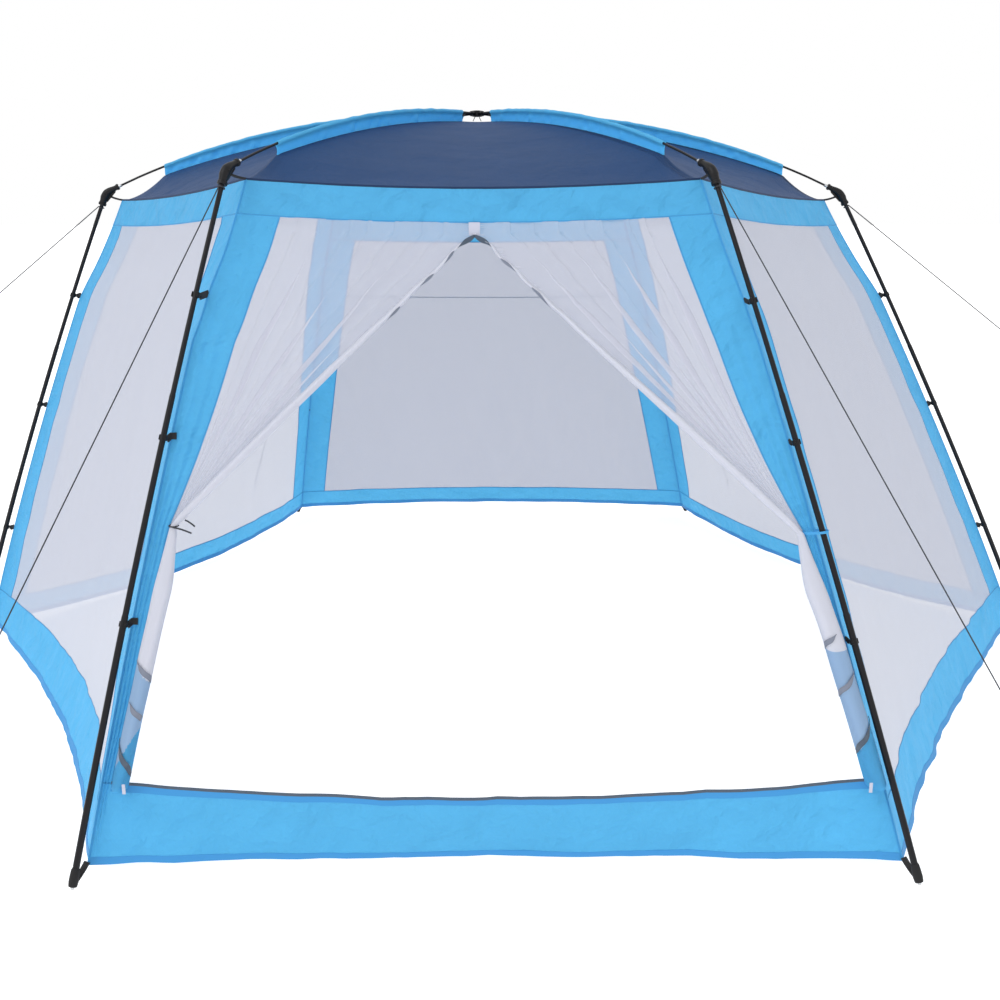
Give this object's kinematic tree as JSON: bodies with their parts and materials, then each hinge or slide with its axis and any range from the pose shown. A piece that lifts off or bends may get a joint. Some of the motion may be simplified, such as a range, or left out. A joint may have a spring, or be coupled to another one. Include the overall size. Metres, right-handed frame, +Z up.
{
  "type": "hexagonal screened pool tent with a pole frame",
  "caption": "Hexagonal screened tent hung in a frame of splayed legs and bowed roof rods, with net walls, a low pointed roof, a tied-back doorway and guy lines; shelters a pool or seats.",
  "frame": {"origin": "on the ground, at the middle of the six feet", "axes": "+Z up; -Y towards the front, where the doorway is; +X towards the right corner as seen from the front"},
  "size_m": [8.5074, 5.9836, 2.418],
  "materials": {
    "roof_cloth": "matte coated plain weave",
    "trim_cloth": "matte coated plain weave",
    "net": "fine open net",
    "black_steel": "satin black paint",
    "black_rod": "smooth fibre rod",
    "black_plastic": "moulded, fine grain",
    "cord": "braided cord"
  },
  "bodies": {
    "root": {"hub": "black_plastic", "roof_rod_right": "black_rod", "roof_rod_back_right": "black_rod", "roof_rod_back_left": "black_rod", "roof_rod_left": "black_rod", "roof_rod_front_left": "black_rod", "roof_rod_front_right": "black_rod", "corner_elbow_right": "black_plastic", "corner_elbow_back_right": "black_plastic", "corner_elbow_back_left": "black_plastic", "corner_elbow_left": "black_plastic", "corner_elbow_front_left": "black_plastic", "corner_elbow_front_right": "black_plastic", "leg_right": "black_steel", "leg_back_right": "black_steel", "leg_back_left": "black_steel", "leg_left": "black_steel", "leg_front_left": "black_steel", "leg_front_right": "black_steel", "roof_canopy": "roof_cloth", "rod_sleeve_right": "trim_cloth", "rod_sleeve_back_right": "trim_cloth", "rod_sleeve_back_left": "trim_cloth", "rod_sleeve_left": "trim_cloth", "rod_sleeve_front_left": "trim_cloth", "rod_sleeve_front_right": "trim_cloth", "wall_border_back_right": "trim_cloth", "wall_border_back": "trim_cloth", "wall_border_back_left": "trim_cloth", "wall_border_front_left": "trim_cloth", "wall_border_front": "trim_cloth", "wall_border_front_right": "trim_cloth", "wall_mesh_back_right": "net", "wall_mesh_back": "net", "wall_mesh_back_left": "net", "wall_mesh_front_left": "net", "wall_mesh_front_right": "net", "door_flap_left": "net", "door_flap_right": "net", "guy_line_right": "cord", "guy_line_back_right": "cord", "guy_line_back_left": "cord", "guy_line_left": "cord", "guy_line_front_left": "cord", "guy_line_front_right": "cord"}
  },
  "joints": []
}
